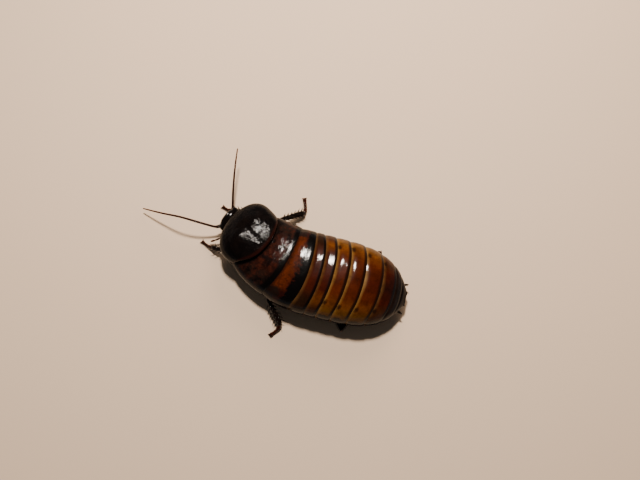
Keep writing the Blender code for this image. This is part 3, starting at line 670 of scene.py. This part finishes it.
def closed_loft(name, rows, material, flat_ends=False):
    """A closed surface through loops of points, sharp at its rims if its ends are flat."""
    count = len(rows[0])
    faces = []
    for r in range(len(rows) - 1):
        for i in range(count):
            j = (i + 1) % count
            faces.append((r * count + i, r * count + j, (r + 1) * count + j, (r + 1) * count + i))
    faces.append(tuple(range(count))[::-1])
    faces.append(tuple((len(rows) - 1) * count + i for i in range(count)))
    piece = mesh_piece(name, rows, faces, material)
    turned = bmesh.new()
    turned.from_mesh(piece.data)
    bmesh.ops.recalc_face_normals(turned, faces=turned.faces)
    turned.to_mesh(piece.data)
    turned.free()
    if flat_ends:
        piece.data.set_sharp_from_angle(angle=math.radians(50))
    return piece


def chitin(name, tones, cloud_mm, grain_mm, roughness, coat, dent_mm):
    """A material of plain waxed chitin: two tones in soft clouds, with fine grain."""
    material, tree, shader = material_of(name)
    cloud, grain = mottling(tree, (cloud_mm, 3.0), (grain_mm, 3.0))
    tone = add(tree, "ShaderNodeValToRGB", {"Fac": cloud}, tones)
    waxed(tree, shader, tone, roughness, coat, grain, dent_mm)
    return material


# Thinner chitin than the back's: plain mid brown in soft clouds, under the same clear wax.
thin = chitin("thin_brown_chitin_belly", ((0.3, "#241008"), (0.7, "#42200F")), 2.5, 0.5, 0.3, 0.5, 0.03)
for name, front, rear, inset in BELLY_PLATES:
    rows = []
    for k in range(BELLY_ROWS + 1):
        share = k / BELLY_ROWS
        station = front - GAP / 2 + share * (rear + GAP - front)
        lift = BELLY_FRONT_STEP * (1 - eased(0.0, 0.5, share)) + BELLY_REAR_STEP * eased(0.88, 1.0, share)
        rows.append(belly_row(station, inset, lift))
    fit(closed_loft(f"{name}_plate", rows, thin, flat_ends=True), "underside", name)


# Head.
# A smooth black capsule tucked under the shield, mouth pointing back, with the lip hinged below a thin line.
# Its crown is the only part that shows from above. The rest is counted from it: forward, left and up.
HEAD_CROWN = (39.25, -12.62, 5.35)
HEAD_TURN_DEG = 20.0
HEAD_MOUTH = (-4.7, 0.0, -3.6)
HEAD_SHAPE = ((0.0, 2.7, 0.9), (0.06, 3.8, 1.45), (0.16, 4.35, 1.8), (0.32, 4.5, 1.95), (0.5, 3.9, 1.9),
              (0.68, 2.8, 1.6), (0.84, 2.1, 1.25), (0.95, 1.65, 0.9), (1.0, 1.1, 0.6))
LIP_SHARE = 0.8
HEAD_ROWS = 60
HEAD_SIDES = 64
BROW_DEPTH = 0.05
BROW_SHARE = 0.58
ROUND_END_STEPS = (0.35, 0.62, 0.82, 0.95)


def on_head(forward, side, up):
    """The point this far from the crown, forward, to the animal's left and up."""
    turn = math.radians(HEAD_TURN_DEG)
    ahead = Vector((math.cos(turn), -math.sin(turn), 0))
    left = Vector((math.sin(turn), math.cos(turn), 0))
    return Vector(HEAD_CROWN) + ahead * forward + left * side + Vector((0, 0, up))


def tube_rows(centres, sizes, sides, up=Vector((0, 0, 1))):
    """Loops along a route, each as wide and as high as its (wide, high) pair."""
    rows = []
    last = len(centres) - 1
    for k, centre in enumerate(centres):
        ahead = centres[min(k + 1, last)] - centres[max(k - 1, 0)]
        ahead.normalize()
        across = ahead.cross(up).normalized()
        rise = across.cross(ahead)
        wide, high = sizes[k]
        loop = []
        for i in range(sides):
            angle = 2 * math.pi * i / sides
            point = centre + across * wide * math.cos(angle) + rise * high * math.sin(angle)
            loop.append((point, (k / last, angle / math.pi - 1, 0.0)))
        rows.append(loop)
    return rows


def with_round_ends(centres, sizes, bluntness=0.6):
    """The same route with a few shrinking steps added at each end, so that the ends are round."""
    first = (centres[0] - centres[1]).normalized()
    final = (centres[-1] - centres[-2]).normalized()
    for end, away, size in ((0, first, sizes[0]), (1, final, sizes[-1])):
        extra, shrunk = [], []
        anchor = centres[-1] if end else centres[0]
        for step in ROUND_END_STEPS:
            reach = min(size) * bluntness * step
            extra.append(anchor + away * reach)
            shrunk.append(tuple(s * math.sqrt(max(1 - step * step, 0.0)) for s in size))
        if end:
            centres, sizes = centres + extra, sizes + shrunk
        else:
            centres, sizes = extra[::-1] + centres, shrunk[::-1] + sizes
    return centres, sizes


def head_rows(start, end):
    """The route and sizes of the head between two shares of the way from its crown to its mouth."""
    top = on_head(0, 0, 0)
    mouth = on_head(*HEAD_MOUTH)
    wide = [(share, w) for share, w, d in HEAD_SHAPE]
    deep = [(share, d) for share, w, d in HEAD_SHAPE]
    centres, sizes = [], []
    for k in range(HEAD_ROWS + 1):
        share = start + (end - start) * k / HEAD_ROWS
        centres.append(top.lerp(mouth, share))
        brow = 1 - BROW_DEPTH * math.exp(-((share - BROW_SHARE) / 0.03) ** 2)
        sizes.append((smooth_between(wide, share) * brow, smooth_between(deep, share) * brow))
    return with_round_ends(centres, sizes, 0.5)


# The smoothest cuticle on the animal: black, with small clear highlights.
black = chitin("polished_black_cuticle_head", ((0.35, "#060404"), (0.75, "#0F0807")),
               1.8, 0.6, 0.18, 0.6, 0.02)
head_length = Vector(HEAD_MOUTH).length
cut = GAP / 2 / head_length
for name, start, end in (("head", 0.0, LIP_SHARE - cut), ("lip", LIP_SHARE + cut, 1.0)):
    centres, sizes = head_rows(start, end)
    rows = tube_rows(centres, sizes, HEAD_SIDES, on_head(1, 0, 0) - on_head(0, 0, 0))
    fit(closed_loft(f"{name}_capsule", rows, black), "black_shell", name)


# Eyes.
# Two upright kidney-shaped compound eyes at the sides of the head, black with a fine facet grain.
# Real facets are too small to see, so the grain is drawn coarser, at a ninth of a millimetre.
EYE_PLACE = (-1.4, 3.9, -1.05)
EYE_SIZE = (1.15, 0.95, 1.75)
EYE_TILT_DEG = 35.0
EYE_NOTCH = 0.16
EYE_NOTCH_HIGH = 0.35
EYE_ROWS = 40
FACETS_A_MM = 9.0
# Clear lenses over black: a satin, faintly grained bead.
lens, tree, shader = material_of("faceted_black_eye")
spot = add(tree, "ShaderNodeTexCoord", out="Object")
facets = add(tree, "ShaderNodeTexVoronoi", {"Vector": spot, "Scale": FACETS_A_MM / MM})
tone = add(tree, "ShaderNodeValToRGB", {"Fac": facets}, ((0.2, "#08080A"), (0.8, "#15100F")))
waxed(tree, shader, tone, 0.2, 0.6, facets, 0.02)
for label, sign in (("left", 1), ("right", -1)):
    centre = on_head(EYE_PLACE[0], sign * EYE_PLACE[1], EYE_PLACE[2])
    turn = Matrix.Rotation(-math.radians(HEAD_TURN_DEG), 3, "Z")
    turn = turn @ Matrix.Rotation(math.radians(EYE_TILT_DEG), 3, "Y")
    rows = []
    for k in range(1, EYE_ROWS):
        polar = math.pi * k / EYE_ROWS
        loop = []
        for i in range(EYE_ROWS):
            angle = 2 * math.pi * i / EYE_ROWS
            level = math.sin(polar)
            ball = Vector((level * math.cos(angle), level * math.sin(angle), math.cos(polar)))
            notch = 1 - EYE_NOTCH * math.exp(-(ball.z / EYE_NOTCH_HIGH) ** 2) * max(-ball.x, 0.0)
            point = Vector([c * s for c, s in zip(ball, EYE_SIZE)]) * notch
            loop.append((centre + turn @ point, (0.0, 0.0, 0.0)))
        rows.append(loop)
    fit(closed_loft(f"eye_{label}_lens", rows, lens), "eyes", f"eye_{label}")


# Feelers.
# Long threads of short rings on a thick root joint, dark red brown and paler to the tip, and the two pairs
# of jointed palps that hang by the mouth. The rings are somewhat longer, and so fewer, than real ones.
ANTENNAE = {
    "left": ((40.4, -8.9, 4.0), (42.0, -8.0, 4.5), (47.5, -7.4, 6.8), (54.0, -7.4, 7.5),
             (62.0, -7.8, 5.0), (69.6, -8.6, 2.2)),
    "right": ((38.2, -15.0, 4.0), (38.1, -16.5, 4.5), (39.1, -20.9, 6.0), (40.3, -26.7, 7.5),
              (41.3, -32.2, 8.4), (42.1, -37.2, 8.8)),
}
ANTENNA_RADII = ((0.0, 0.60), (0.035, 0.58), (0.05, 0.46), (0.3, 0.41), (0.7, 0.33), (1.0, 0.22))
RING_MM = 0.36
RING_WAIST = 0.86
RING_STEPS = 4
ROOT_JOINT_SHARE = 0.05
CURVE_STEPS = 12
PALPS = {
    "maxillary_palp_left": ((37.4, -8.3, 2.3), (38.4, -6.2, 2.7), (39.9, -4.4, 2.6), (42.3, -3.2, 1.6)),
    "maxillary_palp_right": ((36.2, -13.5, 1.9), (36.8, -14.5, 1.6), (37.9, -14.9, 1.3), (40.0, -14.3, 1.1)),
    "labial_palp_left": ((36.0, -9.9, 1.35), (36.6, -8.6, 1.15), (37.8, -8.0, 0.9)),
    "labial_palp_right": ((35.3, -11.9, 1.35), (35.6, -13.0, 1.05), (36.6, -13.6, 0.75)),
}
PALP_RADII = ((0.0, 0.30), (0.10, 0.38), (0.22, 0.34), (0.25, 0.25), (0.34, 0.36), (0.50, 0.32), (0.53, 0.24),
              (0.62, 0.34), (0.74, 0.30), (0.77, 0.23), (0.88, 0.38), (0.96, 0.34), (1.0, 0.24))
PALP_STEPS = 60


def smooth_route(points, steps):
    """Points evenly spaced along a curve through the given ones."""
    dense = []
    for k in range(len(points) - 1):
        p0 = points[max(k - 1, 0)]
        p1, p2 = points[k], points[k + 1]
        p3 = points[min(k + 2, len(points) - 1)]
        for j in range(CURVE_STEPS):
            t = j / CURVE_STEPS
            dense.append(0.5 * (2 * p1 + (p2 - p0) * t + (2 * p0 - 5 * p1 + 4 * p2 - p3) * t * t
                                + (3 * p1 - p0 - 3 * p2 + p3) * t ** 3))
    dense.append(points[-1])
    lengths = [0.0]
    for a, b in zip(dense, dense[1:]):
        lengths.append(lengths[-1] + (b - a).length)
    route = []
    k = 0
    for j in range(steps + 1):
        want = lengths[-1] * j / steps
        while k < len(dense) - 2 and lengths[k + 1] < want:
            k += 1
        t = (want - lengths[k]) / (lengths[k + 1] - lengths[k])
        route.append(dense[k].lerp(dense[k + 1], t))
    return route


def route_length(points):
    """The length of the straight steps between the points."""
    return sum((b - a).length for a, b in zip(points, points[1:]))


# Thin dry chitin: dark red brown, paler to the tip, with little shine.
thread, tree, shader = material_of("red_brown_feeler_chitin")
dust, grain = mottling(tree, (0.5, 2.0), (0.12, 2.0))
tone = add(tree, "ShaderNodeValToRGB", {"Fac": lie_of(tree)["X"]},
           ((0.0, "#120806"), (0.06, "#220D08"), (0.6, "#2C120B"), (1.0, "#4A2214")))
tone = shaded(tree, tone, dust, ((0.3, 0.75), (0.7, 1.1)))
waxed(tree, shader, tone, 0.42, 0.25, grain, 0.02)
for label, route in ANTENNAE.items():
    route = [Vector(p) for p in route]
    steps = round(route_length(route) / RING_MM) * RING_STEPS
    centres = smooth_route(route, steps)
    sizes = []
    for k in range(len(centres)):
        share = k / steps
        waist = RING_WAIST if k % RING_STEPS == 0 and share > ROOT_JOINT_SHARE else 1.0
        radius = smooth_between(ANTENNA_RADII, share) * waist
        sizes.append((radius, radius))
    centres, sizes = with_round_ends(centres, sizes, 0.9)
    piece = closed_loft(f"antenna_{label}_rings", tube_rows(centres, sizes, 16), thread)
    fit(piece, "feelers", f"antenna_{label}")
for name, route in PALPS.items():
    centres = smooth_route([Vector(p) for p in route], PALP_STEPS)
    sizes = [(smooth_between(PALP_RADII, k / PALP_STEPS),) * 2 for k in range(PALP_STEPS + 1)]
    centres, sizes = with_round_ends(centres, sizes, 0.9)
    fit(closed_loft(f"{name}_joints", tube_rows(centres, sizes, 18), thread), "feelers", name)


# Legs.
# Flat black hip plates under the belly, thighs, and shins set with stiff spines that lean to the foot.
# The spines stand in sockets along the shin, and their tips wear to a red brown.
LEGS = {
    "front_left": ((34.2, 5.0), (28.7, -5.2, 2.2), (34.8, -0.5, 4.0), (41.2, -1.2, 1.5),
                   ((43.0, -1.5, 0.75), (45.5, -2.6, 0.42))),
    "front_right": ((34.2, -5.0), (27.5, -10.2, 2.2), (32.4, -16.9, 3.1), (38.7, -16.6, 1.3),
                    ((40.4, -16.5, 0.7), (42.4, -17.2, 0.42))),
    "middle_left": ((19.4, 6.6), (13.4, 1.0, 2.2), (16.9, 11.9, 3.9), (10.4, 19.2, 1.5),
                    ((10.9, 21.0, 0.75), (12.6, 23.3, 0.5))),
    "middle_right": ((19.4, -6.6), (13.9, -5.9, 2.2), (20.9, -16.3, 4.0), (13.2, -22.1, 1.5),
                     ((13.3, -24.4, 0.75), (14.6, -27.8, 0.5))),
    "hind_left": ((6.8, 6.4), (-2.4, 5.0, 1.9), (-10.3, 15.9, 2.7), (-14.9, 2.9, 1.25),
                  ((-17.2, 1.7, 0.7), (-20.9, 0.6, 0.5))),
    "hind_right": ((6.8, -6.4), (-2.4, -5.6, 1.9), (4.4, -14.4, 2.9), (-10.4, -12.9, 1.3),
                   ((-13.0, -13.3, 0.7), (-17.0, -15.0, 0.5))),
}
LEG_GIRTH = {"front": 0.8, "middle": 0.95, "hind": 1.05}
FEMUR_SHAPE = ((0.0, 0.50, 0.60), (0.1, 0.85, 0.95), (0.35, 1.05, 1.15), (0.7, 0.95, 1.05),
               (0.93, 0.82, 0.88), (1.0, 0.62, 0.68))
TIBIA_SHAPE = ((0.0, 0.52, 0.56), (0.08, 0.78, 0.80), (0.5, 0.95, 0.90), (0.92, 1.08, 0.98),
               (1.0, 0.80, 0.74))
TARSUS_SHAPE = ((0.0, 0.44), (0.10, 0.62), (0.34, 0.68), (0.37, 0.48), (0.40, 0.50), (0.47, 0.66),
                (0.51, 0.46), (0.61, 0.66), (0.64, 0.46), (0.73, 0.66), (0.76, 0.46), (0.90, 0.76),
                (1.0, 0.56))
TARSUS_STEPS = 72
COXA_LONG = ((0.0, 2.7), (0.3, 2.16), (0.65, 1.6), (1.0, 0.75))
COXA_WIDE = ((0.0, 1.75), (0.3, 1.6625), (0.65, 1.35), (1.0, 0.7))
COXA_TILT = ((0.0, 0.0), (0.3, 0.35), (0.65, 0.8), (1.0, 1.0))
COXA_DEEP = 1.05
COXA_SAG = 0.35
COXA_ROWS = 24
COXA_SIDES = 32
THIGH_GAP = 0.75
KNEE_GAP = 0.2
SPINE_ROWS_DEG = {"front": (15.0, 95.0, 175.0), "middle": (15.0, 65.0, 115.0, 172.0),
                  "hind": (10.0, 60.0, 120.0, 170.0)}
SPINES_A_ROW = {"front": 4, "middle": 6, "hind": 7}
SPINE_SHAPE = ((0.0, 1.25), (0.06, 1.3), (0.12, 0.95), (0.4, 0.78), (0.7, 0.48), (0.92, 0.2), (1.0, 0.06))
SPINE_LENGTH = 1.6
SPINE_RADIUS = 0.22
SPINE_LEAN = 0.75
SPINE_BEND = 0.18
HAIR_LENGTH = 0.45
HAIR_RADIUS = 0.03
THIGH_HAIRS = 18
FOOT_HAIRS = 22
SPINE_CLEARANCE = 0.25
HAIR_CLEARANCE = 0.12
CLAW_LENGTH = 1.2
CLAW_SPREAD_DEG = 48.0
CLAW_RADIUS = 0.29
CLAW_TIP = 0.03
CLAW_STEPS = 12


def shaped_rows(start, end, shape, girth, sides, steps):
    """Loops of a straight limb whose width and height follow the shape's rows."""
    wide = [(share, w) for share, w, h in shape]
    high = [(share, h) for share, w, h in shape]
    centres = [start.lerp(end, k / steps) for k in range(steps + 1)]
    sizes = [(smooth_between(wide, k / steps) * girth, smooth_between(high, k / steps) * girth)
             for k in range(steps + 1)]
    centres, sizes = with_round_ends(centres, sizes, 0.7)
    return tube_rows(centres, sizes, sides)


def spike_rows(root, ahead, bend, length, radius):
    """Loops of one curved spine from its swollen socket to its point."""
    centres, sizes = [], []
    for share, size in SPINE_SHAPE:
        centres.append(root + ahead * length * share + bend * length * SPINE_BEND * share * share)
        sizes.append((radius * size, radius * size))
    return tube_rows(centres, sizes, 8, ahead.orthogonal())


def many_lofts(name, lofts, material):
    """Several closed surfaces joined in one mesh."""
    pieces = [closed_loft(name, rows, material) for rows in lofts]
    whole = bmesh.new()
    for piece in pieces:
        whole.from_mesh(piece.data)
    mesh = bpy.data.meshes.new(name)
    whole.to_mesh(mesh)
    whole.free()
    for piece in pieces:
        bpy.data.objects.remove(piece)
    mesh.materials.append(material)
    return in_scene(name, mesh)


def coxa_rows(root, tip, girth):
    """Loops of a hip, flat and broad at the belly and round at the tip that holds the thigh."""
    along = tip - root
    along.z = 0
    along.normalize()
    across = Vector((-along.y, along.x, 0))
    rows = []
    for k in range(COXA_ROWS + 1):
        share = k / COXA_ROWS
        centre = root.lerp(tip, share)
        centre.z -= COXA_SAG * math.sin(math.pi * share)
        tilt = smooth_between(COXA_TILT, share)
        rise = (along * (1 - tilt) + Vector((0, 0, 1)) * tilt).normalized()
        deep = COXA_DEEP * tilt * (1 - 0.2 * eased(0.8, 1.0, share))
        high = smooth_between(COXA_LONG, share) * (1 - tilt) + deep
        wide = smooth_between(COXA_WIDE, share)
        if share == 1:
            wide, high = 0.6 * wide, 0.6 * high
        loop = []
        for i in range(COXA_SIDES):
            angle = 2 * math.pi * i / COXA_SIDES
            point = centre + (across * wide * math.cos(angle) + rise * high * math.sin(angle)) * girth
            loop.append((point, (share, angle / math.pi - 1, 0.0)))
        rows.append(loop)
    return rows


# Hard black chitin that wears to red brown at both ends of a joint, with wet-looking highlights.
shank, tree, shader = material_of("glossy_black_leg_chitin")
cloud, grain = mottling(tree, (1.2, 3.0), (0.35, 3.0))
tone = add(tree, "ShaderNodeValToRGB", {"Fac": cloud}, ((0.35, "#080504"), (0.75, "#160B08")))
ends = ((0.0, 0.7), (0.12, 0.0), (0.9, 0.0), (1.0, 0.8))
tone = laid_over(tree, tone, ((lie_of(tree)["X"], ends, "#2A1009"),))
waxed(tree, shader, tone, 0.26, 0.6, grain, 0.03)
# The softer chitin of the foot: dark brown to red brown, satin.
sole = chitin("satin_brown_foot_chitin", ((0.3, "#120804"), (0.7, "#3A1408")), 0.8, 0.2, 0.4, 0.3, 0.03)


def shin_spines(knee, ankle, pair, outer, seed, girth):
    """Rows of spines that lean to the foot, longest near it, none reaching the floor."""
    draw = random.Random(seed)
    ahead = (ankle - knee).normalized()
    across = ahead.cross(Vector((0, 0, 1))).normalized() * -outer
    rise = across.cross(ahead) * -outer
    if rise.z < 0:
        rise = -rise
    lofts = []
    for row, angle_deg in enumerate(SPINE_ROWS_DEG[pair]):
        for k in range(SPINES_A_ROW[pair]):
            share = 0.18 + (k + 0.4 * (row % 2)) / SPINES_A_ROW[pair] * 0.8
            angle = math.radians(angle_deg + draw.uniform(-9, 9))
            out = across * math.cos(angle) + rise * math.sin(angle)
            root = knee.lerp(ankle, min(share, 0.97)) + out * 0.75 * girth
            length = SPINE_LENGTH * (0.7 + 0.4 * share) * draw.uniform(0.85, 1.1)
            lean = (out + ahead * SPINE_LEAN * draw.uniform(0.85, 1.15)).normalized()
            if (root + lean * length).z > SPINE_CLEARANCE:
                lofts.append(spike_rows(root, lean, ahead, length, SPINE_RADIUS))
    return lofts


def hairs(start, end, radius, count, seed, steep=0.8):
    """Fine stiff hairs round a limb, leaning to its end."""
    draw = random.Random(seed)
    ahead = (end - start).normalized()
    across = ahead.orthogonal().normalized()
    rise = ahead.cross(across)
    lofts = []
    for k in range(count):
        angle = draw.uniform(0, 2 * math.pi)
        out = across * math.cos(angle) + rise * math.sin(angle)
        root = start.lerp(end, draw.uniform(0.05, 0.95)) + out * radius * 0.85
        lean = (out * steep + ahead).normalized()
        length = HAIR_LENGTH * draw.uniform(0.6, 1.2)
        if (root + lean * length).z > HAIR_CLEARANCE:
            lofts.append(spike_rows(root, lean, ahead, length, HAIR_RADIUS))
    return lofts


for label, ((station, side), tip, knee, ankle, route) in LEGS.items():
    pair, hand = label.split("_")
    outer = 1 if hand == "left" else -1
    girth = LEG_GIRTH[pair]
    tip, knee, ankle = Vector(tip), Vector(knee), Vector(ankle)
    root = on_body(station, side, smooth_between(BELLY_HEIGHT, station) - GAP)
    hip = closed_loft(f"coxa_{label}_plate", coxa_rows(root, tip, girth), shank)
    fit(hip, "black_shell", f"coxa_{label}")
    thigh_start = tip + (knee - tip).normalized() * THIGH_GAP * girth
    thigh = [shaped_rows(thigh_start, knee, FEMUR_SHAPE, girth, 28, 40)]
    thigh += hairs(thigh_start, knee, 0.85 * girth, THIGH_HAIRS, f"thigh {label}")
    fit(many_lofts(f"femur_{label}_limb", thigh, shank), "black_shell", f"femur_{label}")
    shin_start = knee + (ankle - knee).normalized() * KNEE_GAP
    shin = [shaped_rows(shin_start, ankle, TIBIA_SHAPE, girth, 24, 48)]
    shin += shin_spines(knee, ankle, pair, outer, label, girth)
    fit(many_lofts(f"tibia_{label}_spined", shin, shank), "black_shell", f"tibia_{label}")
    centres = smooth_route([ankle] + [Vector(p) for p in route], TARSUS_STEPS)
    sizes = [(smooth_between(TARSUS_SHAPE, k / TARSUS_STEPS) * girth,) * 2 for k in range(TARSUS_STEPS + 1)]
    centres, sizes = with_round_ends(centres, sizes, 0.8)
    foot = [tube_rows(centres, sizes, 18)]
    ahead = centres[-5] - centres[-12]
    ahead.z = 0
    ahead.normalize()
    for sign in (1, -1):
        out = Matrix.Rotation(sign * math.radians(CLAW_SPREAD_DEG), 3, "Z") @ ahead
        root = centres[-5] - ahead * 0.25 + Vector((0, 0, 0.05))
        end = root + out * CLAW_LENGTH
        end.z = 0.05
        middle = root.lerp(end, 0.55) + Vector((0, 0, 0.25))
        claw = smooth_route([root, middle, end], CLAW_STEPS)
        girths = [(CLAW_RADIUS * (1 - k / CLAW_STEPS) ** 0.7 + CLAW_TIP,) * 2 for k in range(CLAW_STEPS + 1)]
        foot.append(tube_rows(claw, girths, 10))
    foot += hairs(ankle, centres[-6], 0.42 * girth, FOOT_HAIRS, f"foot {label}")
    for loft in foot:
        for k, loop in enumerate(loft):
            loft[k] = [(Vector((p.x, p.y, max(p.z, 0.0))), lie) for p, lie in loop]
    fit(many_lofts(f"tarsus_{label}_foot", foot, sole), "feet", f"tarsus_{label}")


# Tail rods.
# Two short jointed feelers under the edge of the last plate, dark, with a few fine hairs.
# Each is a tapered row of rings.
CERCUS_ROOT = (-25.3, 4.0, 3.6)
CERCUS_LENGTH = 3.7
CERCUS_RADIUS = 0.62
CERCUS_SPLAY_DEG = 20.0
CERCUS_RINGS = 8
CERCUS_STEPS = 48
CERCUS_HAIRS = 20
CERCUS_SHAPE = ((0.0, 0.9), (0.35, 1.0), (0.8, 0.6), (1.0, 0.36))
for label, sign in (("left", 1), ("right", -1)):
    root = on_body(CERCUS_ROOT[0], sign * CERCUS_ROOT[1], CERCUS_ROOT[2])
    angle = math.radians(180 - sign * CERCUS_SPLAY_DEG)
    ahead = Vector((math.cos(angle), math.sin(angle), 0))
    centres = [root + ahead * CERCUS_LENGTH * k / CERCUS_STEPS for k in range(CERCUS_STEPS + 1)]
    sizes = []
    for k in range(CERCUS_STEPS + 1):
        share = k / CERCUS_STEPS
        waist = 1 - 0.10 * abs(math.cos(math.pi * CERCUS_RINGS * share)) ** 6
        sizes.append((CERCUS_RADIUS * smooth_between(CERCUS_SHAPE, share) * waist,) * 2)
    centres, sizes = with_round_ends(centres, sizes, 1.0)
    rod = [tube_rows(centres, sizes, 18)]
    tip = root + ahead * CERCUS_LENGTH
    rod += hairs(root + ahead * 1.2, tip, 0.4, CERCUS_HAIRS, f"tail {label}", 1.6)
    fit(many_lofts(f"cercus_{label}_rod", rod, shank), "black_shell", f"cercus_{label}")
